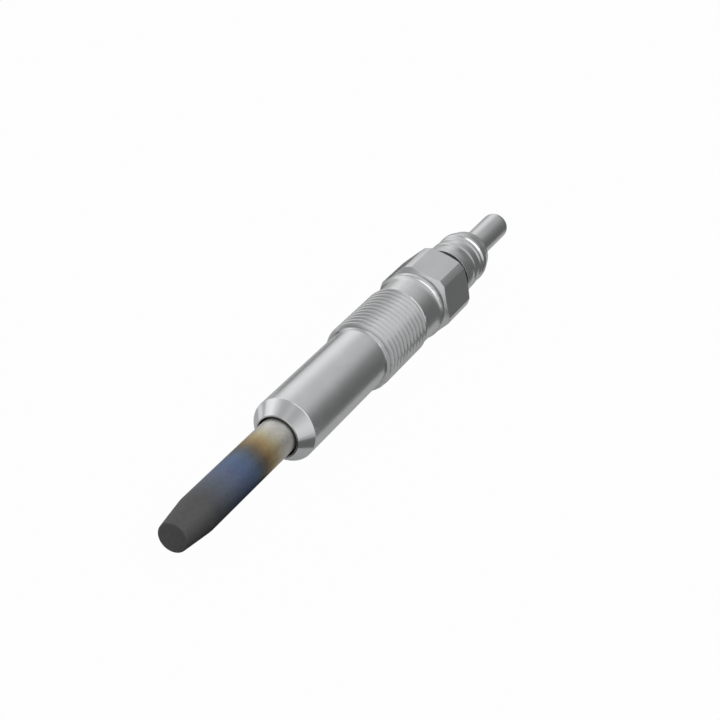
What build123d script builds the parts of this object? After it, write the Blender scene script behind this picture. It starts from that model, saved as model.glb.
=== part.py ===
from build123d import *
import math
import os

# Diesel glow plug with an M10 x 1 thread, lying on one flat of its hexagon.
# The axis runs along X, from the hot tip at -X to the terminal pin at +X, and +Z is up.
# The origin is on the axis, where the cone seat meets the plain shank. All sizes are in millimetres.

# Heater tube
tube_diameter = 5.0
tube_wall = 0.65
tube_end_wall = 1.0
tube_projection = 24.0
tube_taper_length = 5.1
tube_tip_diameter = 3.84
tube_tip_chamfer = 0.22

# Housing, front to rear
front_face_diameter = 5.9
seat_angle = 69.0
seat_edge_chamfer = 0.1
shank_diameter = 8.6
shank_length = 20.1
thread_diameter = 9.8
thread_length = 11.6
thread_lead_in = 0.35
thread_run_out = 0.2
neck_diameter = 9.36
neck_length = 6.4
bead_diameter = 9.96
bead_flank = 0.5
bead_width = 0.2
relief_groove_diameter = 9.0
relief_groove_width = 1.15
hexagon_across_flats = 10.0
hexagon_across_corners = 11.04
hexagon_length = 7.2
hexagon_chamfer_diameter = 9.9
hexagon_chamfer_angle = 30.0

# Bores of the housing
mouth_gap = 0.26
mouth_depth = 6.0
tube_grip_length = 10.0
rod_bore_diameter = 4.4
counterbore_diameter = 6.4
counterbore_depth = 6.0

# Rubber plug in the tube's mouth, and the connecting rod that it holds
tube_seal_wall = 0.55
tube_seal_length = 2.0
rod_nose_length = 3.0
rod_head_diameter = 3.0
rod_head_length = 8.0

# Coils: wire on one mean diameter, with a straight tail at each outer end.
# The wire is drawn square, and each turn in a few straight runs, to keep the facets of the helix few.
coil_mean_diameter = 2.1
coil_runs_per_turn = 10
heating_wire = 0.4
heating_pitch = 1.5
heating_turns = 7
regulating_wire = 0.3
regulating_pitch = 1.08
regulating_turns = 11
coil_tail_length = 0.7

# Rubber ring, as squeezed nearly square between its neighbours
o_ring_length = 1.8

# Insulating bush
bush_flange_diameter = 7.9
bush_flange_thickness = 2.1

# Terminal nut and pin
nut_diameter = 8.1
nut_plain_length = 2.5
nut_shoulder_diameter = 6.64
nut_shoulder_bevel = 0.32
nut_taper_length = 2.1
nut_rear_cone_length = 0.9
pin_diameter = 4.0
pin_length = 10.25
# The pin's end is rounded in two steps, a slender one and a steep one, each (length, depth)
pin_end_steps = ((0.60, 0.25), (0.25, 0.60))
# Each rolled groove: run down, run up, depth, then the land behind it, its length and its drop.
# Depth and drop are measured below the nut's full radius.
nut_grooves = (
    (0.30, 0.35, 0.17, 0.65, 0.08),
    (0.60, 0.70, 0.33, 0.10, 0.20),
    (0.50, 0.90, 0.43, 0.50, 0.12),
)

# Clearances: the first two on the radius, the last along the axis
slide_clearance = 0.05
coil_clearance = 0.02
rod_end_clearance = 0.2

# The rod leaves room in the tube for the rubber plug
rod_diameter = tube_diameter - 2 * (tube_wall + tube_seal_wall)

# Places along the axis
seat_slope = math.tan(math.radians(seat_angle / 2))
seat_length = (shank_diameter - front_face_diameter) / 2 / seat_slope
front_face = -seat_length
tip = front_face - tube_projection
tip_inside = tip + tube_end_wall
mouth_end = front_face + mouth_depth
tube_rear = mouth_end + tube_grip_length
thread_start = shank_length
thread_end = thread_start + thread_length
hexagon_front = thread_end + neck_length
relief_groove_start = hexagon_front - relief_groove_width
bead_start = relief_groove_start - bead_width
hexagon_rear = hexagon_front + hexagon_length
counterbore_floor = hexagon_rear - counterbore_depth
nut_front = hexagon_rear + bush_flange_thickness
heating_start = tip_inside + coil_tail_length
coil_joint = heating_start + heating_turns * heating_pitch
regulating_end = coil_joint + regulating_turns * regulating_pitch
rod_shoulder = regulating_end + coil_tail_length
rod_head_start = nut_front
rod_end = rod_head_start + rod_head_length


def turned(*corners):
    """Solid turned about the axis from the corners of its half section, each (x, radius)."""
    return revolve(make_face(Polyline(*corners, close=True)), Axis.X)


def heater_tube():
    """Closed tube with a straight rear part, a slender taper and a flat, slightly rounded tip."""
    radius = tube_diameter / 2
    tip_radius = tube_tip_diameter / 2
    taper_end = tip + tube_taper_length
    outside = turned(
        (tip, 0),
        (tip, tip_radius - tube_tip_chamfer),
        (tip + tube_tip_chamfer, tip_radius),
        (taper_end, radius),
        (tube_rear, radius),
        (tube_rear, 0),
    )
    return outside - tube_inside(tube_rear)


def tube_inside(rear):
    """Space inside the heater tube, from its end wall back to the given place."""
    radius = tube_diameter / 2
    tip_radius = tube_tip_diameter / 2
    slope = (radius - tip_radius) / tube_taper_length
    return turned(
        (tip_inside, 0),
        (tip_inside, tip_radius + slope * tube_end_wall - tube_wall),
        (tip + tube_taper_length, radius - tube_wall),
        (rear, radius - tube_wall),
        (rear, 0),
    )


def housing_outside():
    """Everything turned on the housing's outside in front of the hexagon. The thread is at its crests."""
    return turned(
        (front_face, 0),
        (front_face, front_face_diameter / 2),
        (-seat_edge_chamfer, shank_diameter / 2 - seat_edge_chamfer * seat_slope),
        (seat_edge_chamfer, shank_diameter / 2),
        (thread_start, shank_diameter / 2),
        (thread_start + thread_lead_in, thread_diameter / 2),
        (thread_end - thread_run_out, thread_diameter / 2),
        (thread_end, neck_diameter / 2),
        (bead_start - bead_flank, neck_diameter / 2),
        (bead_start, bead_diameter / 2),
        (relief_groove_start, bead_diameter / 2),
        (relief_groove_start, relief_groove_diameter / 2),
        (hexagon_front, relief_groove_diameter / 2),
        (hexagon_front, 0),
    )


def hexagon_head():
    """Hexagon with a flat underneath, its corners left round and its rear edge chamfered by turning."""
    flats = RegularPolygon(hexagon_across_flats / 2, 6, major_radius=False)
    prism = extrude(Plane.YZ.offset(hexagon_front) * flats, hexagon_length)
    chamfer_width = (hexagon_across_corners - hexagon_chamfer_diameter) / 2
    chamfer_length = chamfer_width * math.tan(math.radians(hexagon_chamfer_angle))
    envelope = turned(
        (hexagon_front, 0),
        (hexagon_front, hexagon_across_corners / 2),
        (hexagon_rear - chamfer_length, hexagon_across_corners / 2),
        (hexagon_rear, hexagon_chamfer_diameter / 2),
        (hexagon_rear, 0),
    )
    return prism & envelope


def housing_bores():
    """Stepped bore: a mouth wider than the tube, the tube's press fit, the rod's bore and a counterbore."""
    beyond = 1.0
    mouth_radius = tube_diameter / 2 + mouth_gap
    return turned(
        (front_face - beyond, 0),
        (front_face - beyond, mouth_radius),
        (mouth_end, mouth_radius),
        (mouth_end, tube_diameter / 2),
        (tube_rear, tube_diameter / 2),
        (tube_rear, rod_bore_diameter / 2),
        (counterbore_floor, rod_bore_diameter / 2),
        (counterbore_floor, counterbore_diameter / 2),
        (hexagon_rear + beyond, counterbore_diameter / 2),
        (hexagon_rear + beyond, 0),
    )


def housing():
    """Steel body in one piece."""
    return housing_outside() + hexagon_head() - housing_bores()


def connecting_rod():
    """Centre rod: a nose inside the regulating coil, the long rod, and a head pressed into the nut."""
    inside_corners = (coil_mean_diameter - regulating_wire) / 2
    nose_radius = inside_corners * math.cos(math.pi / coil_runs_per_turn) - coil_clearance
    return turned(
        (rod_shoulder - rod_nose_length, 0),
        (rod_shoulder - rod_nose_length, nose_radius),
        (rod_shoulder, nose_radius),
        (rod_shoulder, rod_diameter / 2),
        (rod_head_start, rod_diameter / 2),
        (rod_head_start, rod_head_diameter / 2),
        (rod_end, rod_head_diameter / 2),
        (rod_end, 0),
    )


def turns_of_wire(start, wire, pitch, turns):
    """Right-handed helix from start: a loft through squares that stand in planes through the axis."""
    radius = coil_mean_diameter / 2
    sections = []
    for step in range(turns * coil_runs_per_turn + 1):
        turned_by = step / coil_runs_per_turn
        angle = 2 * math.pi * turned_by
        outward = (0, math.cos(angle), math.sin(angle))
        onward = (0, -math.sin(angle), math.cos(angle))
        centre = (start + pitch * turned_by, radius * outward[1], radius * outward[2])
        sections.append(Plane(centre, x_dir=outward, z_dir=onward) * Rectangle(wire, wire))
    return loft(sections, ruled=True)


def tail(wire, front, rear, side):
    """Straight wire between two places, beside the plane where the turns start and end."""
    centre = ((front + rear) / 2, coil_mean_diameter / 2, side * wire / 2)
    return Pos(*centre) * Box(rear - front, wire, wire)


def heating_coil():
    """Front coil, its tail welded to the tube's end wall."""
    turns = turns_of_wire(heating_start, heating_wire, heating_pitch, heating_turns)
    return turns + tail(heating_wire, tip_inside, heating_start, 1)


def regulating_coil():
    """Rear coil, which starts on the heating coil's end. Its tail is welded to the rod's shoulder."""
    turns = turns_of_wire(coil_joint, regulating_wire, regulating_pitch, regulating_turns)
    return turns + tail(regulating_wire, regulating_end, rod_shoulder, -1)


def tube_seal():
    """Rubber plug in the tube's rear mouth, round the rod."""
    front = tube_rear - tube_seal_length
    outer = tube_diameter / 2 - tube_wall
    inner = rod_diameter / 2
    return turned((front, inner), (front, outer), (tube_rear, outer), (tube_rear, inner))


def insulating_powder():
    """Packed powder that fills the tube around the coils and the rod, up to the seal."""
    filled = tube_inside(tube_rear - tube_seal_length)
    return filled - connecting_rod() - heating_coil() - regulating_coil()


def o_ring():
    """Rubber ring round the rod, squeezed between it, the counterbore, its floor and the bush."""
    inner = rod_diameter / 2
    outer = counterbore_diameter / 2
    rear = counterbore_floor + o_ring_length
    return turned(
        (counterbore_floor, inner), (counterbore_floor, outer), (rear, outer), (rear, inner)
    )


def insulating_bush():
    """Bush with a sleeve in the counterbore and a flange between the hexagon and the nut."""
    sleeve_front = counterbore_floor + o_ring_length
    sleeve = counterbore_diameter / 2 - slide_clearance
    inner = rod_diameter / 2 + slide_clearance
    return turned(
        (sleeve_front, inner),
        (sleeve_front, sleeve),
        (hexagon_rear, sleeve),
        (hexagon_rear, bush_flange_diameter / 2),
        (nut_front, bush_flange_diameter / 2),
        (nut_front, inner),
    )


def nut_outline():
    """Corners of the nut's outside, from its front face to the end of its pin."""
    full = nut_diameter / 2
    place = nut_front + nut_plain_length
    corners = [(nut_front, full), (place, full)]
    for run_down, run_up, depth, land_length, land_drop in nut_grooves:
        bottom = place + run_down
        land = bottom + run_up
        place = land + land_length
        corners += [(bottom, full - depth), (land, full - land_drop), (place, full - land_drop)]
    shoulder = place + nut_taper_length
    shoulder_radius = nut_shoulder_diameter / 2
    corners.append((shoulder, shoulder_radius))
    corners.append((shoulder + nut_shoulder_bevel, shoulder_radius - nut_shoulder_bevel))
    corners.append((shoulder + nut_rear_cone_length, pin_diameter / 2))
    place = corners[-1][0] + pin_length - sum(length for length, depth in pin_end_steps)
    radius = pin_diameter / 2
    corners.append((place, radius))
    for length, depth in pin_end_steps:
        place += length
        radius -= depth
        corners.append((place, radius))
    return corners


def terminal_nut():
    """Round nut with its push-on pin, bored from the front for the rod's head."""
    outline = nut_outline()
    pin_end = outline[-1][0]
    outside = turned((nut_front, 0), *outline, (pin_end, 0))
    bore_end = rod_end + rod_end_clearance
    bore_radius = rod_head_diameter / 2
    bore = turned(
        (nut_front, 0), (nut_front, bore_radius), (bore_end, bore_radius), (bore_end, 0)
    )
    return outside - bore


pieces = (
    housing,
    heater_tube,
    heating_coil,
    regulating_coil,
    insulating_powder,
    tube_seal,
    connecting_rod,
    o_ring,
    insulating_bush,
    terminal_nut,
)

os.makedirs("parts", exist_ok=True)
for piece in pieces:
    export_step(piece(), f"parts/{piece.__name__}.step")
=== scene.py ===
import math

import bpy
import numpy as np
from mathutils import Matrix


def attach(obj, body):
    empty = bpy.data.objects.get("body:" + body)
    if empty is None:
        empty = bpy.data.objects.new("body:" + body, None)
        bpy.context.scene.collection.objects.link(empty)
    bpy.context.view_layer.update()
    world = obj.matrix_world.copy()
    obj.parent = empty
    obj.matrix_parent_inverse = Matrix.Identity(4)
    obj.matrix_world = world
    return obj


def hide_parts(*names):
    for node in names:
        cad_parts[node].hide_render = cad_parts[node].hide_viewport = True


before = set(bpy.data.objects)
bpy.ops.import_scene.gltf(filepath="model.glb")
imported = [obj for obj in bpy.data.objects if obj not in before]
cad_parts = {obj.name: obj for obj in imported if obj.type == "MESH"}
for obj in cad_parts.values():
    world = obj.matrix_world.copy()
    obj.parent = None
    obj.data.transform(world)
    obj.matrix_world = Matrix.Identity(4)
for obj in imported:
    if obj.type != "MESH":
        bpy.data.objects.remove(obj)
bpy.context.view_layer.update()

# ---------------------------------------------------------------------------
# Sizes of the finished surfaces, in millimetres: X along the axis, R from it
# ---------------------------------------------------------------------------

MM = 0.001

# Housing outside, front to rear: the cone seat and the shank
FRONT_FACE_X = -1.964
FRONT_FACE_R = 2.95
SHANK_R = 4.3

# The thread. Its phase is where a crest crosses angle 0, and its root rises to the neck over the fade.
THREAD_START_X = 20.1
THREAD_END_X = 32.0
THREAD_PITCH = 1.0
THREAD_PHASE = -0.25
THREAD_CREST_R = 4.9
THREAD_ROOT_R = 4.3
THREAD_CREST_FLAT = 0.125
THREAD_CREST_ROUNDING = 0.02
THREAD_ROOT_ROUNDING = 0.06
THREAD_FLANK_SLOPE = math.tan(math.radians(30.0))
THREAD_LEAD_IN = 0.35
THREAD_RUN_OUT = 0.12
THREAD_END_ROUNDING = 0.01
THREAD_FADE = 0.6

# Neck, bead, relief groove and hexagon. The cone in front of the hexagon has a slope of x over r, and crosses
# the hexagon's front at the face's radius.
NECK_R = 4.68
BEAD_R = 4.98
GROOVE_FRONT_X = 37.12
GROOVE_R = 4.5
HEXAGON_FRONT_X = 38.1
HEXAGON_REAR_X = 45.3
HEXAGON_FLAT_R = 5.0
HEXAGON_CORNER_R = 5.49
HEXAGON_FACE_SLOPE = 0.5
HEXAGON_FACE_R = 5.30
HEXAGON_CHAMFER_R = 4.91
HEXAGON_CHAMFER_SLOPE = math.tan(math.radians(30.0))

# Housing inside: a mouth wider than the tube, the tube's grip, the rod's bore and a counterbore
MOUTH_R = 2.76
MOUTH_END_X = 4.036
ROD_BORE_R = 2.2
COUNTERBORE_R = 3.2
COUNTERBORE_FLOOR_X = 39.3

# Heater tube, closed at its tapered tip
TUBE_TIP_X = -25.964
TUBE_TIP_R = 1.92
TUBE_TAPER_X = -20.864
TUBE_R = 2.5
TUBE_REAR_X = 14.036
TUBE_INSIDE_X = -24.964
TUBE_INSIDE_TIP_R = 1.384
TUBE_INSIDE_R = 1.85

# Bush: a sleeve in the counterbore, and a flange that ends where the nut begins
BUSH_FRONT_X = 41.1
BUSH_SLEEVE_R = 3.15
BUSH_FLANGE_R = 3.98
BUSH_BORE_R = 1.35
NUT_FRONT_X = 47.52

# Pin, with a shallow dimple in its end, and the nut's bore for the rod's head
PIN_END_X = 67.75
PIN_R = 2.0
PIN_DIMPLE_R = 1.1
PIN_DIMPLE_DEPTH = 0.06
NUT_BORE_R = 1.5
NUT_BORE_END_X = 55.6

# Rows of the grid in one pitch of the thread, by their distance in front of the crest
THREAD_ROWS = (0.50, 0.46, 0.42, 0.38, 0.32, 0.23, 0.13, 0.09, 0.0625, 0.035, 0.0)

# Columns round a turned piece
COLUMNS = 144


# ---------------------------------------------------------------------------
# Surfaces
# ---------------------------------------------------------------------------

def rounded_path(corners, steps=6):
    """Path of a turned outline through corners (x, r, cut).

    Each corner C with a cut c is left out from A, c before it, to B, c behind it. The piece between is
    (1-t)^2 A + 2t(1-t) C + t^2 B for t from 0 to 1. A row 0.4 c outside A and B keeps the straight runs flat.
    """
    points = np.array([corner[:2] for corner in corners], dtype=float)
    cuts = [corner[2] for corner in corners]
    t = np.linspace(0.0, 1.0, steps + 1)[:, None]
    path = [points[:1]]
    for i in range(1, len(points) - 1):
        if cuts[i] == 0.0:
            path.append(points[i:i + 1])
            continue
        to_last = points[i - 1] - points[i]
        to_next = points[i + 1] - points[i]
        to_last = to_last / np.hypot(*to_last)
        to_next = to_next / np.hypot(*to_next)
        start = points[i] + cuts[i] * to_last
        end = points[i] + cuts[i] * to_next
        path.append((start + 0.4 * cuts[i] * to_last)[None])
        path.append((1 - t) ** 2 * start + 2 * t * (1 - t) * points[i] + t ** 2 * end)
        path.append((end + 0.4 * cuts[i] * to_next)[None])
    path.append(points[-1:])
    return np.concatenate(path)


def around(path, angles):
    """The rows x and r of a path of (x, r), the same at every angle."""
    return np.repeat(path[:, :1], len(angles), 1), np.repeat(path[:, 1:], len(angles), 1)


def on_rows(x, r, angles):
    """Points of a grid of rows round the axis: (i, j) lies at (x[i, j], r[i, j] cos a[j], r[i, j] sin a[j])."""
    return np.stack([x, r * np.cos(angles), r * np.sin(angles)], -1)


def turned_surface(name, path, loop):
    """Closed grid of a turned outline, swept round the axis in even columns.

    With loop the last row joins the first one. Without it the first and the last row each lie on the axis
    and become one point.
    """
    angles = np.arange(COLUMNS) * 2 * math.pi / COLUMNS
    x, r = around(path, angles)
    own = np.arange(x.size).reshape(x.shape)
    if not loop:
        own[0], own[-1] = own[0, 0], own[-1, 0]
    return grid_object(name, on_rows(x, r, angles), own, np.arange(len(x)), loop)


def grid_object(name, points, own, past_seam, loop):
    """Object from a grid of points in millimetres, where grid place (i, j) uses point number own[i, j].

    Places with the same number are one point. Each face takes (i, j), its neighbour in the next column and
    both in the next row. Past the seam, row i goes on as row past_seam[i]. Faces that shrink to a triangle
    become one, and those that shrink to a line are left out.
    """
    beside = np.concatenate([own[:, 1:], own[past_seam, :1]], 1)
    quads = np.stack([own, beside, np.roll(beside, -1, 0), np.roll(own, -1, 0)], -1)
    quads = (quads if loop else quads[:-1]).reshape(-1, 4)
    numbers, quads = np.unique(quads, return_inverse=True)
    quads = quads.reshape(-1, 4)
    same = quads == np.roll(quads, -1, 1)
    thin = same.sum(1) == 1
    triangles = quads[thin][~same[thin]].reshape(-1, 3)
    return mesh_object(name, points.reshape(-1, 3)[numbers] * MM, quads[same.sum(1) == 0], triangles)


def mesh_object(name, vertices, quads, triangles):
    """Object with these vertices (in metres), four-sided and three-sided faces, shaded smooth."""
    mesh = bpy.data.meshes.new(name)
    corners = np.concatenate([quads.ravel(), triangles.ravel()])
    starts = np.concatenate([
        np.arange(len(quads)) * 4,
        len(quads) * 4 + np.arange(len(triangles)) * 3,
    ])
    mesh.vertices.add(len(vertices))
    mesh.vertices.foreach_set("co", vertices.astype(np.float32).ravel())
    mesh.loops.add(len(corners))
    mesh.loops.foreach_set("vertex_index", corners.astype(np.int32))
    mesh.polygons.add(len(starts))
    mesh.polygons.foreach_set("loop_start", starts.astype(np.int32))
    mesh.update(calc_edges=True)
    mesh.validate()
    mesh.polygons.foreach_set("use_smooth", np.ones(len(mesh.polygons), dtype=bool))
    mesh.update()
    made = bpy.data.objects.new(name, mesh)
    bpy.context.scene.collection.objects.link(made)
    return made


def hexagon_angles():
    """Angles of the housing's columns: per side of 60 degrees, even steps across the flat, close ones at the
    two edges at acos(5.0 / 5.49) where the flat meets the turned corner, and even steps over the corner.
    """
    edge = math.degrees(math.acos(HEXAGON_FLAT_R / HEXAGON_CORNER_R))
    half = np.concatenate([
        np.linspace(0.0, edge - 1.2, 11),
        [edge - 0.5, edge - 0.15, edge + 0.15, edge + 0.5, (edge + 30.5) / 2],
    ])
    side = np.concatenate([-half[:0:-1], half, [30.0]])
    return np.radians(np.concatenate([side + 90.0 + 60.0 * n for n in range(6)]))


def hexagon_outline(angles):
    """Radius of the hexagon at an angle a from the middle of a flat: min(5.0 / cos a, 5.49)."""
    across = (np.degrees(angles) - 90.0 + 30.0) % 60.0 - 30.0
    return np.minimum(HEXAGON_FLAT_R / np.cos(np.radians(across)), HEXAGON_CORNER_R)


def soft_min(a, b, width):
    """The smaller of a and b, the corner where they cross rounded: (a + b - sqrt((a-b)^2 + width^2)) / 2."""
    return 0.5 * (a + b - np.sqrt((a - b) ** 2 + width * width))


def thread_radius(x, angles):
    """Radius of the right-hand screw thread.

    The place in the turn is s = x / pitch - angle / 360 deg, measured from the nearest crest. The radius
    falls from the crest's edge at 30 degrees to the root, under the cones of the lead-in and the run-out,
    and the root rises to the neck over the last part of a turn.
    """
    s = (x - THREAD_PHASE) / THREAD_PITCH - angles / (2 * math.pi)
    from_crest = np.abs(s - np.round(s)) * THREAD_PITCH
    flank = THREAD_CREST_R - (from_crest - THREAD_CREST_FLAT / 2) / THREAD_FLANK_SLOPE
    radius = soft_min(flank, THREAD_CREST_R, THREAD_CREST_ROUNDING)
    rise = np.clip((x - (THREAD_END_X - THREAD_FADE)) / (THREAD_FADE - THREAD_RUN_OUT), 0.0, 1.0)
    root = THREAD_ROOT_R + (NECK_R - THREAD_ROOT_R) * rise * rise * (3 - 2 * rise)
    radius = -soft_min(-radius, -root, THREAD_ROOT_ROUNDING)
    lead_in = SHANK_R + (x - THREAD_START_X) * (THREAD_CREST_R - SHANK_R) / THREAD_LEAD_IN
    run_out = NECK_R + (THREAD_END_X - x) * (THREAD_CREST_R - NECK_R) / THREAD_RUN_OUT
    radius = np.minimum(radius, soft_min(lead_in, run_out, THREAD_END_ROUNDING))
    return np.clip(radius, THREAD_ROOT_R, THREAD_CREST_R)


def hexagon_rows(angles):
    """Rows (x, r) of the hexagon, from the relief groove's root back to the rear face.

    The front is a shallow cone from the root to the outline. Its edge is rounded, and the rear corners are
    turned off by a 30 degree cone that meets the rear face at 4.91 mm.
    """
    outline = hexagon_outline(angles)[None]
    out = np.array([0.0, 0.03, 0.08, 0.15, 0.3, 0.5, 0.7])[:, None]
    face_r = GROOVE_R + (outline - GROOVE_R) * out
    face_x = HEXAGON_FRONT_X + HEXAGON_FACE_SLOPE * (face_r - HEXAGON_FACE_R)
    edge = rounded_path([(-0.05, -0.10, 0.0), (0.0, 0.0, 0.04), (0.6, 0.0, 0.0)], 4)
    edge_x = HEXAGON_FRONT_X + HEXAGON_FACE_SLOPE * (outline - HEXAGON_FACE_R) + edge[:, :1]
    edge_r = outline + edge[:, 1:]
    chamfer_x = HEXAGON_REAR_X - (outline - HEXAGON_CHAMFER_R) * HEXAGON_CHAMFER_SLOPE
    side_x = chamfer_x - np.array([0.5, 0.10, 0.04, 0.01])[:, None]
    side_r = outline - np.array([0.0, 0.0, 0.0, 0.003])[:, None]
    along = np.array([0.06, 0.2, 0.5, 0.85, 1.0])[:, None]
    turned_x = chamfer_x + (HEXAGON_REAR_X - chamfer_x) * along
    turned_r = outline + (HEXAGON_CHAMFER_R - outline) * along
    return [(face_x, face_r), (edge_x, edge_r), (side_x, side_r), (turned_x, turned_r)]


def housing_surface():
    """Closed grid of the steel body: through the bores from rear to front, over the cone, shank, thread,
    neck, bead and groove, and over the hexagon.

    The rows of the thread follow its helix: x = row + pitch * angle / 360 deg, cut off at both ends, where
    they join the last plain row. Past the seam each goes on as the row one pitch further.
    """
    angles = hexagon_angles()
    start_x, end_x = THREAD_START_X - 0.05, THREAD_END_X + 0.02
    bores_and_cone = rounded_path([
        (HEXAGON_REAR_X, COUNTERBORE_R + 0.1, 0.0), (HEXAGON_REAR_X, COUNTERBORE_R, 0.03),
        (COUNTERBORE_FLOOR_X, COUNTERBORE_R, 0.05), (COUNTERBORE_FLOOR_X, ROD_BORE_R, 0.05),
        (TUBE_REAR_X, ROD_BORE_R, 0.05), (TUBE_REAR_X, TUBE_R, 0.05), (MOUTH_END_X, TUBE_R, 0.05),
        (MOUTH_END_X, MOUTH_R, 0.05), (FRONT_FACE_X, MOUTH_R, 0.04), (FRONT_FACE_X, FRONT_FACE_R, 0.07),
        (0.0, SHANK_R, 0.07), (start_x - 0.15, SHANK_R, 0.0), (start_x - 0.05, SHANK_R, 0.0),
        (start_x, SHANK_R, 0.0),
    ])
    in_pitch = np.array([-at for at in THREAD_ROWS] + list(THREAD_ROWS[-2:0:-1]))
    turns = np.arange(math.floor(start_x) - 2, math.ceil(end_x) + 1)
    row_x = (turns[:, None] + in_pitch[None]).ravel() * THREAD_PITCH + THREAD_PHASE
    helix_x = row_x[:, None] + THREAD_PITCH * angles[None] / (2 * math.pi)
    thread_x = np.clip(helix_x, start_x, end_x)
    neck = rounded_path([
        (end_x, NECK_R, 0.0), (end_x + 0.05, NECK_R, 0.0), (end_x + 0.15, NECK_R, 0.0), (35.70, NECK_R, 0.45),
        (36.20, NECK_R + 0.065, 0.28), (36.66, BEAD_R - 0.015, 0.10), (GROOVE_FRONT_X, BEAD_R, 0.04),
        (GROOVE_FRONT_X, GROOVE_R, 0.10), (37.35, GROOVE_R, 0.0),
    ])
    rear = np.array([[HEXAGON_REAR_X, HEXAGON_CHAMFER_R - 0.05], [HEXAGON_REAR_X, 3.6]])
    parts = [
        around(bores_and_cone, angles), (thread_x, thread_radius(thread_x, angles[None])),
        around(neck, angles), *hexagon_rows(angles), around(rear, angles),
    ]
    x = np.concatenate([part[0] for part in parts])
    r = np.concatenate([part[1] for part in parts])
    before = len(bores_and_cone)
    after = before + len(row_x)
    # Off the thread's ends, a place on a helix row takes the point of the plain row there
    own = np.arange(x.size).reshape(x.shape)
    own[before:after] = np.where(helix_x <= start_x, own[before - 1], own[before:after])
    own[before:after] = np.where(helix_x >= end_x, own[after], own[before:after])
    past_seam = np.arange(len(x))
    past_seam[before:after] = np.minimum(past_seam[before:after] + len(in_pitch), after - 1)
    return grid_object("housing_body", on_rows(x, r, angles), own, past_seam, True)


def pin_end(steps=6):
    """The dimple in the pin's end, from its edge to the axis: x = end - depth * (r / edge)^2."""
    r = np.linspace(PIN_DIMPLE_R, 0.0, steps + 1)
    return np.stack([PIN_END_X - PIN_DIMPLE_DEPTH * (r / PIN_DIMPLE_R) ** 2, r], -1)


housing_body = housing_surface()

sheath = turned_surface("heater_sheath", rounded_path([
    (TUBE_TIP_X, 0.0, 0.0), (TUBE_TIP_X, TUBE_TIP_R, 0.17), (TUBE_TAPER_X, TUBE_R, 0.35),
    (TUBE_REAR_X, TUBE_R, 0.06), (TUBE_REAR_X, TUBE_INSIDE_R, 0.06), (TUBE_TAPER_X, TUBE_INSIDE_R, 0.2),
    (TUBE_INSIDE_X, TUBE_INSIDE_TIP_R, 0.1), (TUBE_INSIDE_X, 0.0, 0.0),
]), False)

bush = turned_surface("insulating_bush_black", rounded_path([
    (43.0, BUSH_BORE_R, 0.0), (BUSH_FRONT_X, BUSH_BORE_R, 0.05), (BUSH_FRONT_X, BUSH_SLEEVE_R, 0.06),
    (HEXAGON_REAR_X, BUSH_SLEEVE_R, 0.05), (HEXAGON_REAR_X, BUSH_FLANGE_R, 0.09),
    (NUT_FRONT_X, BUSH_FLANGE_R, 0.04), (NUT_FRONT_X, BUSH_BORE_R, 0.05), (44.0, BUSH_BORE_R, 0.0),
]), True)

# The nut's outline: the bore, the plain band, three rolled grooves, the shoulder, the rear cone and the pin
nut_path = rounded_path([
    (NUT_BORE_END_X, 0.0, 0.0), (NUT_BORE_END_X, NUT_BORE_R, 0.05), (NUT_FRONT_X, NUT_BORE_R, 0.05),
    (NUT_FRONT_X, 4.05, 0.04), (49.1, 4.04, 0.4),
    (50.4, 3.86, 0.10), (50.76, 3.95, 0.10), (51.6, 3.93, 0.05),
    (51.72, 3.71, 0.05), (52.45, 3.71, 0.10), (52.85, 3.845, 0.08), (53.1, 3.845, 0.05),
    (53.2, 3.64, 0.05), (53.53, 3.70, 0.06), (53.85, 3.88, 0.06), (54.2, 3.90, 0.10),
    (54.6, 3.90, 0.24), (56.75, 3.28, 0.3), (57.5, PIN_R, 0.10),
    (PIN_END_X, PIN_R, 0.85), (PIN_END_X - PIN_DIMPLE_DEPTH, PIN_DIMPLE_R, 0.0),
])
nut = turned_surface("terminal_nut_and_pin", np.concatenate([nut_path[:-1], pin_end()]), False)


# ---------------------------------------------------------------------------
# Materials
# ---------------------------------------------------------------------------

def linear(code):
    """Linear colour with alpha 1 from an sRGB code such as '#8f7650'."""
    values = np.array([int(code[i:i + 2], 16) / 255 for i in (1, 3, 5)])
    values = np.where(values <= 0.04045, values / 12.92, ((values + 0.055) / 1.055) ** 2.4)
    return (*values.tolist(), 1.0)


def grey(value):
    """Grey of that linear value."""
    return (value, value, value, 1.0)


def add(tree, kind, inputs=(), **settings):
    """Adds one node of a kind, sets its settings, and links or sets its inputs, given as (socket, value)."""
    made = tree.nodes.new(kind)
    for key, value in settings.items():
        setattr(made, key, value)
    for key, value in inputs:
        if isinstance(value, bpy.types.NodeSocket):
            tree.links.new(value, made.inputs[key])
        else:
            made.inputs[key].default_value = value
    return made


def ramp(tree, value, stops):
    """Colour ramp through (place, colour) stops, read at value."""
    made = add(tree, "ShaderNodeValToRGB", [("Fac", value)])
    elements = made.color_ramp.elements
    while len(elements) < len(stops):
        elements.new(0.5)
    for element, (place, colour) in zip(elements, stops):
        element.position = place
        element.color = colour
    return made.outputs["Color"]


def empty_material(name):
    """A node material without nodes, and its tree."""
    made = bpy.data.materials.new(name)
    made.use_nodes = True
    made.node_tree.nodes.clear()
    return made, made.node_tree


def new_material(name):
    """A node material, its tree and its principled shader."""
    made, tree = empty_material(name)
    shader = add(tree, "ShaderNodeBsdfPrincipled")
    add(tree, "ShaderNodeOutputMaterial", [("Surface", shader.outputs["BSDF"])])
    return made, tree, shader


def repeats(tree, scale):
    """Object coordinates stretched by scale (x, y, z), in repeats per metre."""
    where = add(tree, "ShaderNodeTexCoord").outputs["Object"]
    return add(tree, "ShaderNodeMapping", [("Vector", where), ("Scale", scale)]).outputs["Vector"]


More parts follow.
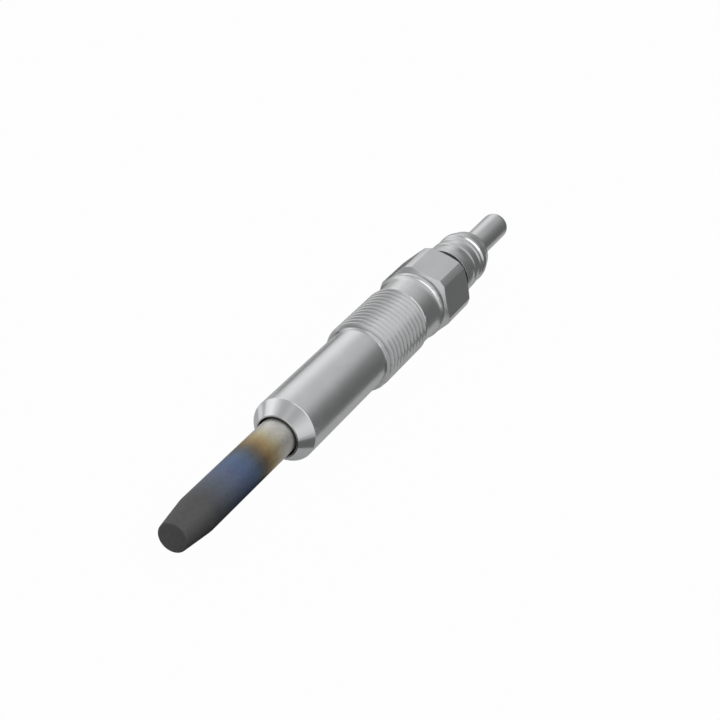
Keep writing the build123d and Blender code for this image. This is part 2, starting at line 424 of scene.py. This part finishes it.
def zones_along(tree, zones):
    """Roughness, strength of the rings and share of painted shade in the thread's root, read at the place along
    the axis.

    zones are (x in mm, roughness, strength, share of painted root shade). The painted shade counts in full from
    radius 4.40 mm inwards, the thread's root, and not at all from 4.75 mm outwards, on the upper flank and the
    crest.
    """
    where = add(tree, "ShaderNodeTexCoord").outputs["Object"]
    x = add(tree, "ShaderNodeSeparateXYZ", [("Vector", where)]).outputs["X"]
    first, last = zones[0][0], zones[-1][0]
    span = add(tree, "ShaderNodeMapRange", [
        ("Value", x), ("From Min", first * MM), ("From Max", last * MM),
    ]).outputs["Result"]
    stops = [((at - first) / (last - first), (*levels, 1.0)) for at, *levels in zones]
    levels = add(tree, "ShaderNodeSeparateColor", [("Color", ramp(tree, span, stops))]).outputs
    across = add(tree, "ShaderNodeVectorMath", [
        (0, where), (1, (0.0, 1.0, 1.0)),
    ], operation="MULTIPLY").outputs[0]
    radius = add(tree, "ShaderNodeVectorMath", [(0, across)], operation="LENGTH").outputs["Value"]
    # Painted shade mask: full at the thread's root, none at its upper flank and crest
    depth = add(tree, "ShaderNodeMapRange", [
        ("Value", radius), ("From Min", 4.75 * MM), ("From Max", 4.40 * MM),
    ]).outputs["Result"]
    painted_root_shade = add(tree, "ShaderNodeMath", [(0, depth), (1, levels["Blue"])], operation="MULTIPLY").outputs[0]
    return levels["Red"], levels["Green"], painted_root_shade


def turned_metal(name, colour, dark, roughness, ring_mm, ring_depth_mm, spread, zones=()):
    """Metal turned on a lathe.

    Rings along the axis come from noise squeezed to ring_mm along x and drawn out round the axis. They give
    the bump, and 0.05 more or less of roughness. Softer noise, a few millimetres wide, mixes the two colours.
    Where there are zones, they set the roughness and the strength of the rings, and paint shade into the thread's
    root by darkening its colour.
    """
    made, tree, shader = new_material(name)
    rings = add(tree, "ShaderNodeTexNoise", [
        ("Vector", repeats(tree, (1 / (ring_mm * MM), 60.0, 60.0))), ("Scale", 1.0),
        ("Detail", 3.0), ("Roughness", 0.6),
    ]).outputs["Fac"]
    cloud = add(tree, "ShaderNodeTexNoise", [
        ("Vector", repeats(tree, (250.0, 400.0, 400.0))), ("Scale", 1.0), ("Detail", 4.0), ("Roughness", 0.55),
    ]).outputs["Fac"]
    cloud = add(tree, "ShaderNodeMapRange", [
        ("Value", cloud), ("From Min", 0.3), ("From Max", 0.7),
    ]).outputs["Result"]
    tone = add(tree, "ShaderNodeMix", [
        ("Factor", cloud), (6, linear(dark)), (7, linear(colour)),
    ], data_type="RGBA").outputs[2]
    strength = 1.0
    if zones:
        roughness, strength, painted_root_shade = zones_along(tree, zones)
        # Painted shade: the colour of the thread's root is multiplied towards 0.66 grey, so its hollows look
        # darker
        tone = add(tree, "ShaderNodeMix", [
            ("Factor", painted_root_shade), (6, tone), (7, grey(0.66)),
        ], data_type="RGBA", blend_type="MULTIPLY").outputs[2]
    tree.links.new(tone, shader.inputs["Base Color"])
    uneven = add(tree, "ShaderNodeMath", [
        (0, rings), (1, 0.10), (2, -0.05),
    ], operation="MULTIPLY_ADD").outputs[0]
    uneven = add(tree, "ShaderNodeMath", [(0, uneven), (1, roughness)], operation="ADD").outputs[0]
    tree.links.new(uneven, shader.inputs["Roughness"])
    bump = add(tree, "ShaderNodeBump", [
        ("Height", rings), ("Strength", strength), ("Distance", ring_depth_mm * MM),
    ])
    tree.links.new(bump.outputs["Normal"], shader.inputs["Normal"])
    tangent = add(tree, "ShaderNodeTangent", direction_type="RADIAL", axis="X")
    tree.links.new(tangent.outputs["Tangent"], shader.inputs["Tangent"])
    shader.inputs["Metallic"].default_value = 1.0
    shader.inputs["Anisotropic"].default_value = spread
    return made


def heat_tinted_steel(name):
    """Heat-resisting steel sheath after it has glowed.

    The colour runs along the axis: burnt grey at the tip, violet blue, straw brown, then clean metal at the
    body. Noise shifts the bands by up to about a millimetre, so that they bend round the tube. Finer noise
    gives the grain of the scale, in tone, roughness and bump, and the metal gets smoother to the rear.
    """
    made, tree, shader = new_material(name)
    where = add(tree, "ShaderNodeTexCoord").outputs["Object"]
    x = add(tree, "ShaderNodeSeparateXYZ", [("Vector", where)]).outputs["X"]
    wander = add(tree, "ShaderNodeTexNoise", [
        ("Vector", repeats(tree, (110.0, 260.0, 260.0))), ("Scale", 1.0), ("Detail", 3.0), ("Roughness", 0.5),
    ]).outputs["Fac"]
    shifted = add(tree, "ShaderNodeMath", [
        (0, wander), (1, 2.4 * MM), (2, x),
    ], operation="MULTIPLY_ADD").outputs[0]
    # The noise's middle, 0.5, moves the bands on by 1.2 mm, which the span takes back
    first, last = -26.0, 0.0
    span = add(tree, "ShaderNodeMapRange", [
        ("Value", shifted), ("From Min", (first + 1.2) * MM), ("From Max", (last + 1.2) * MM),
    ]).outputs["Result"]
    tint = ramp(tree, span, [((at - first) / (last - first), linear(code)) for at, code in HEAT_TINTS])
    grain = add(tree, "ShaderNodeTexNoise", [
        ("Vector", repeats(tree, (2200.0, 2600.0, 2600.0))), ("Scale", 1.0), ("Detail", 4.0), ("Roughness", 0.6),
    ]).outputs["Fac"]
    mottle = add(tree, "ShaderNodeMapRange", [
        ("Value", grain), ("From Min", 0.3), ("From Max", 0.7), ("To Min", 0.86), ("To Max", 1.06),
    ]).outputs["Result"]
    toned = add(tree, "ShaderNodeMix", [
        ("Factor", 1.0), (6, tint), (7, mottle),
    ], data_type="RGBA", blend_type="MULTIPLY").outputs[2]
    tree.links.new(toned, shader.inputs["Base Color"])
    matt = ramp(tree, span, [(0.0, grey(0.62)), (0.25, grey(0.52)), (0.6, grey(0.40)), (0.85, grey(0.31))])
    uneven = add(tree, "ShaderNodeMath", [
        (0, grain), (1, 0.12), (2, matt),
    ], operation="MULTIPLY_ADD").outputs[0]
    tree.links.new(uneven, shader.inputs["Roughness"])
    bump = add(tree, "ShaderNodeBump", [("Height", grain), ("Strength", 1.0), ("Distance", 0.008 * MM)])
    tree.links.new(bump.outputs["Normal"], shader.inputs["Normal"])
    shader.inputs["Metallic"].default_value = 0.85
    return made


def plain_finish(name, colour, dark, roughness, metallic, grain_mm, depth_mm):
    """Moulded, pressed or drawn finish: noise of grain_mm mixes two tones and gives the bump and 0.07 more or
    less of roughness.
    """
    made, tree, shader = new_material(name)
    grain = add(tree, "ShaderNodeTexNoise", [
        ("Vector", repeats(tree, (1 / (grain_mm * MM),) * 3)), ("Scale", 1.0), ("Detail", 4.0), ("Roughness", 0.6),
    ]).outputs["Fac"]
    tone = add(tree, "ShaderNodeMix", [
        ("Factor", grain), (6, linear(dark)), (7, linear(colour)),
    ], data_type="RGBA").outputs[2]
    tree.links.new(tone, shader.inputs["Base Color"])
    uneven = add(tree, "ShaderNodeMath", [
        (0, grain), (1, 0.14), (2, roughness - 0.07),
    ], operation="MULTIPLY_ADD").outputs[0]
    tree.links.new(uneven, shader.inputs["Roughness"])
    bump = add(tree, "ShaderNodeBump", [("Height", grain), ("Strength", 1.0), ("Distance", depth_mm * MM)])
    tree.links.new(bump.outputs["Normal"], shader.inputs["Normal"])
    shader.inputs["Metallic"].default_value = metallic
    return made


# Heat tints by the place along the axis in millimetres, from the tip to the clean metal at the body
HEAT_TINTS = (
    (-26.0, "#676767"), (-25.5, "#656565"), (-21.0, "#616161"), (-19.4, "#616369"), (-17.2, "#656c78"),
    (-14.9, "#646f89"), (-12.6, "#5d6f8e"), (-11.3, "#5f6e85"), (-10.2, "#60666c"), (-9.0, "#766a57"),
    (-7.8, "#9a835c"), (-6.5, "#b2a480"), (-5.3, "#bfbba6"), (-4.0, "#cac7bf"), (-2.0, "#cbcccb"),
)

# Zones of the housing: x in mm, roughness, strength of the rings, share of painted shade in the thread's root.
# In turn: the smoother, ringed cone seat, the shank, the thread, the neck, and the bead with the hexagon.
HOUSING_ZONES = (
    (-2.0, 0.17, 1.0, 0.0), (-0.2, 0.17, 1.0, 0.0), (0.2, 0.25, 0.7, 0.0), (20.0, 0.25, 0.7, 0.0),
    (20.4, 0.20, 0.5, 1.0), (31.6, 0.20, 0.5, 1.0), (32.0, 0.25, 0.7, 0.0), (37.2, 0.25, 0.7, 0.0),
    (37.4, 0.22, 0.2, 0.0), (46.0, 0.27, 0.2, 0.0),
)

# Pale zinc plate over turned steel: soft bright bands along the body, the cone seat brighter and ringed
housing_finish = turned_metal(
    "zinc_plated_turned_steel", "#d6d7d8", "#cfd0d1", 0.24, 0.22, 0.0035, 0.5, HOUSING_ZONES,
)
# Greyer nickel plate on the terminal nut and its pin, with a soft sheen round them
nut_finish = turned_metal("nickel_plated_turned_steel", "#d0d1d2", "#c8c9ca", 0.25, 0.25, 0.003, 0.5)
# Drawn steel rod, hidden inside the plug
rod_finish = turned_metal("drawn_steel_rod", "#c4c4c2", "#b6b6b4", 0.30, 0.5, 0.002, 0.4)
# Satin scale on the sheath: dull at the tip, with blue and straw bands, and a soft shine at the body
sheath_finish = heat_tinted_steel("satin_heat_tinted_heater_steel")
# Black moulded plastic: matte, with a fine mould grain
bush_finish = plain_finish("matte_black_moulded_plastic", "#18181a", "#101011", 0.50, 0.0, 0.12, 0.006)
# Hidden pieces: resistance wire with a drawn shine, chalky white powder and black rubber
coil_finish = plain_finish("drawn_resistance_alloy_wire", "#bcb6ac", "#9d978e", 0.35, 1.0, 0.08, 0.003)
powder_finish = plain_finish("packed_magnesium_oxide_powder", "#f2f0ea", "#e4e1d8", 0.85, 0.0, 0.10, 0.010)
rubber_finish = plain_finish("black_moulded_rubber", "#2a2a2a", "#1e1e1e", 0.60, 0.0, 0.15, 0.006)

# Pieces that show: each rides the part's one body and stands in for its solid
shown = (
    (housing_body, "housing", "housing_steel", housing_finish),
    (sheath, "heater_tube", "heat_tinted_steel", sheath_finish),
    (bush, "insulating_bush", "bush_plastic", bush_finish),
    (nut, "terminal_nut", "nut_steel", nut_finish),
)
for piece, node_name, slot_name, finish in shown:
    piece.data.materials.append(finish)
    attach(piece, "root")
    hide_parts(node_name)

# Pieces inside: their solids stay and only get their material
hidden = (
    ("heating_coil", coil_finish), ("regulating_coil", coil_finish), ("insulating_powder", powder_finish),
    ("tube_seal", rubber_finish), ("o_ring", rubber_finish), ("connecting_rod", rod_finish),
)
for node_name, finish in hidden:
    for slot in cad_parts[node_name].material_slots:
        slot.material = finish


# ---------------------------------------------------------------------------
# Floor, cards, world, lamp and camera
# ---------------------------------------------------------------------------

# How white the floor is where the camera sees it, and where metal mirrors it
FLOOR_WHITE_IN_VIEW = 0.98
FLOOR_WHITE_IN_METAL = 0.20

# Levels of the world's light. BRIGHT and NEAR go by the angle round the axis from the +Y horizon, SHADE by
# the climb z / x + 0.3 y, and FRONT by y.
TENT_BRIGHT = ((0, 0.86), (22, 1.10), (37, 1.04), (52, 0.84), (67, 0.72))
TENT_SHADE = (
    (0.0, 0.18), (0.14, 0.20), (0.35, 0.26), (0.45, 0.33), (0.52, 0.40), (0.60, 0.50), (0.67, 0.60), (0.77, 0.70),
)
TENT_NEAR = (
    (0, 1.05), (22, 1.28), (37, 0.88), (52, 0.58), (67, 0.56), (82, 0.68), (97, 0.54), (112, 0.58),
    (127, 0.76), (150, 0.95), (180, 0.80),
)
TENT_BEHIND = 0.27
TENT_FRONT = (
    (-0.7, 0.45), (-0.55, 0.52), (-0.47, 0.60), (-0.36, 0.77), (-0.22, 0.85), (-0.07, 0.86), (0.10, 0.90),
    (0.27, 0.79), (0.43, 0.50), (0.58, 0.42), (0.70, 0.37),
)

# What a sheet beside the object is made of: a card that shines with a painted reflection of shade or light, or a
# clear grey filter that paints shade into reflections
CARD = "ShaderNodeEmission"
FILTER = "ShaderNodeBsdfTransparent"


def pale_floor():
    """Pale paper floor. The camera sees nearly all of it at full white and mirror-like surfaces a share of
    that white. The rest is lit, so that it keeps the object's soft shadow.
    """
    made, tree = empty_material("pale_paper_floor")
    rays = add(tree, "ShaderNodeLightPath").outputs
    mirrored = add(tree, "ShaderNodeMath", [
        (0, rays["Is Glossy Ray"]), (1, rays["Is Transmission Ray"]),
    ], operation="MAXIMUM").outputs[0]
    mirrored = add(tree, "ShaderNodeMath", [
        (0, mirrored), (1, FLOOR_WHITE_IN_METAL),
    ], operation="MULTIPLY").outputs[0]
    share = add(tree, "ShaderNodeMath", [
        (0, rays["Is Camera Ray"]), (1, FLOOR_WHITE_IN_VIEW), (2, mirrored),
    ], operation="MULTIPLY_ADD").outputs[0]
    fibre = add(tree, "ShaderNodeTexNoise", [
        ("Vector", repeats(tree, (900.0, 900.0, 900.0))), ("Scale", 1.0), ("Detail", 2.0),
    ]).outputs["Fac"]
    tone = ramp(tree, fibre, [(0.3, grey(0.44)), (0.7, grey(0.48))])
    paper = add(tree, "ShaderNodeBsdfDiffuse", [("Color", tone)]).outputs["BSDF"]
    glow = add(tree, "ShaderNodeEmission", [("Color", grey(1.0)), ("Strength", 1.0)]).outputs["Emission"]
    mixed = add(tree, "ShaderNodeMixShader", [("Fac", share), (1, paper), (2, glow)]).outputs["Shader"]
    add(tree, "ShaderNodeOutputMaterial", [("Surface", mixed)])
    return made


def flat_sheet(name, corners, material):
    """One four-sided sheet through corners in millimetres, which isn't part of the object."""
    mesh = bpy.data.meshes.new(name)
    mesh.from_pydata((np.array(corners) * MM).tolist(), [], [(0, 1, 2, 3)])
    mesh.materials.append(material)
    made = bpy.data.objects.new(name, mesh)
    bpy.context.scene.collection.objects.link(made)
    return made


def mirrored_sheet(name, corners, kind, level):
    """Card or filter of that grey beside the object, a painted reflection of shade or light. Only mirror-like
    surfaces see it: it lights nothing and casts no shadow.
    """
    made, tree = empty_material(name)
    plain = add(tree, kind, [("Color", grey(level))])
    add(tree, "ShaderNodeOutputMaterial", [("Surface", plain.outputs[0])])
    sheet = flat_sheet(name, corners, made)
    sheet.visible_camera = False
    sheet.visible_diffuse = False
    sheet.visible_shadow = False


def light_tent():
    """The room's light by direction (x, y, z), as the plug's metal shows it.

    Far side (+X): brightest low on the +Y side, and darker the less a direction climbs. Near side (-X): it
    runs round the axis. Straight behind the plug it is dark, and in front of the plug it runs from side to
    side. Each layer goes over the last by a smooth step of the angle round the axis or of x.
    """
    made = bpy.data.worlds.new("light_tent")
    made.use_nodes = True
    tree = made.node_tree
    tree.nodes.clear()
    way = add(tree, "ShaderNodeTexCoord").outputs["Generated"]
    way = add(tree, "ShaderNodeSeparateXYZ", [("Vector", way)]).outputs
    turn = add(tree, "ShaderNodeMath", [(0, way["Z"]), (1, way["Y"])], operation="ARCTAN2").outputs[0]
    turn = add(tree, "ShaderNodeMath", [(0, turn), (1, 1 / math.pi)], operation="MULTIPLY").outputs[0]
    rise = add(tree, "ShaderNodeMath", [(0, way["Z"]), (1, way["X"])], operation="DIVIDE").outputs[0]
    climb = add(tree, "ShaderNodeMath", [
        (0, way["Y"]), (1, 0.3), (2, rise),
    ], operation="MULTIPLY_ADD").outputs[0]
    across = add(tree, "ShaderNodeMapRange", [
        ("Value", way["Y"]), ("From Min", -1.0), ("From Max", 1.0),
    ]).outputs["Result"]
    light = ramp(tree, turn, [(angle / 180, grey(level)) for angle, level in TENT_BRIGHT])
    shade = ramp(tree, climb, [(at, grey(level)) for at, level in TENT_SHADE])
    near = ramp(tree, turn, [(angle / 180, grey(level)) for angle, level in TENT_NEAR])
    front = ramp(tree, across, [((y + 1) / 2, grey(level)) for y, level in TENT_FRONT])
    layers = (
        (turn, 50 / 180, 75 / 180, shade),
        (way["X"], 0.6, 0.0, near),
        (way["X"], 0.90, 0.99, grey(TENT_BEHIND)),
        (way["X"], -0.35, -0.65, front),
    )
    for value, start, end, level in layers:
        share = add(tree, "ShaderNodeMapRange", [
            ("Value", value), ("From Min", start), ("From Max", end),
        ], interpolation_type="SMOOTHSTEP").outputs["Result"]
        light = add(tree, "ShaderNodeMix", [
            ("Factor", share), (6, light), (7, level),
        ], data_type="RGBA").outputs[2]
    sky = add(tree, "ShaderNodeBackground", [("Color", light), ("Strength", 1.0)]).outputs["Background"]
    add(tree, "ShaderNodeOutputWorld", [("Surface", sky)])
    return made


# The object lies on the lower flat of its hexagon
flat_sheet("floor", [
    (-2000, -2000, -HEXAGON_FLAT_R), (2000, -2000, -HEXAGON_FLAT_R), (2000, 2000, -HEXAGON_FLAT_R),
    (-2000, 2000, -HEXAGON_FLAT_R),
], pale_floor())

# Sheets round the object, painted dark and bright reflections for the metal, such as the shade beside and under
# the sheath: name, corners in millimetres, kind and grey level
sheets = (
    ("painted_dark_reflection_lying", [(10, -13.8, -4.95), (160, -5.5, -4.95), (160, -20, -4.95), (17, -20, -4.95)], CARD, 0.16),
    ("painted_dark_reflection_upright", [(17, -20, -4.95), (160, -20, -4.95), (160, -20, 4.5), (19, -20, 4.5)], CARD, 0.16),
    ("painted_dark_reflection_under_sheath", [(-40, -20, -4.9), (-3, -20, -4.9), (-3, -1, -4.9), (-40, -1, -4.9)], CARD, 0.02),
    ("painted_dark_reflection_by_tip", [(-20, -8, -4.9), (-9, -8, -4.9), (-9, -8, 2.5), (-20, -8, 2.5)], CARD, 0.08),
    ("painted_dark_reflection_by_cone", [(-7, -9.5, -4.95), (4, -9.5, -4.95), (4, -14, -0.5), (-7, -14, -0.5)], CARD, 0.16),
    ("painted_dark_reflection_by_shank", [(22, 20, -3.7), (43, 20, -3.7), (43, 20, 0), (22, 20, 0)], CARD, 0.05),
    ("painted_dark_reflection_by_hexagon", [(43, 5.5, -4.95), (62, 5.5, -4.95), (62, 15, -4.95), (43, 15, -4.95)], CARD, 0.10),
    ("painted_bright_reflection_by_cone", [(-10, 15, -4.95), (6, 15, -4.95), (6, 80, -4.95), (-10, 80, -4.95)], CARD, 0.90),
    ("painted_dark_reflection_behind_pin", [(77, -7, -4.95), (200, -10, -4.95), (200, 9, -4.95), (77, 9, -4.95)], CARD, 0.12),
    ("painted_shade_filter_behind_nut", [(82, 0, 22), (82, -40, 6), (82, -40, 40), (82, 0, 40)], FILTER, 0.82),
    ("painted_shade_filter_beside_nut", [(82, 18, 2), (82, 31, 2), (82, 31, 30), (82, 18, 30)], FILTER, 0.82),
)
for sheet in sheets:
    mirrored_sheet(*sheet)

bpy.context.scene.world = light_tent()

# One large soft box overhead, long from side to side
lamp_data = bpy.data.lights.new("soft_box", "AREA")
lamp_data.shape = "RECTANGLE"
lamp_data.size = 0.22
lamp_data.size_y = 0.58
lamp_data.energy = 0.52
lamp = bpy.data.objects.new("soft_box", lamp_data)
lamp.location = (0.06, -0.132, 0.461)
lamp.rotation_euler = (math.radians(16.0), 0.0, 0.0)
bpy.context.scene.collection.objects.link(lamp)

# The camera stands where the photograph was taken from, fitted to the outline of the plug
camera_data = bpy.data.cameras.new("photo_view")
camera_data.lens = 87.75
camera_data.sensor_width = 36.0
camera_data.clip_start = 0.01
camera_data.clip_end = 10.0
camera = bpy.data.objects.new("photo_view", camera_data)
right = (0.4419, -0.8567, 0.2654)
up = (0.4296, 0.4620, 0.7759)
back = (-0.7875, -0.2288, 0.5722)
axes = Matrix((right, up, back)).transposed()
camera.matrix_world = Matrix.Translation((-0.1607, -0.05292, 0.13144)) @ axes.to_4x4()
bpy.context.scene.collection.objects.link(camera)
bpy.context.scene.camera = camera
bpy.context.scene.view_settings.view_transform = "Standard"
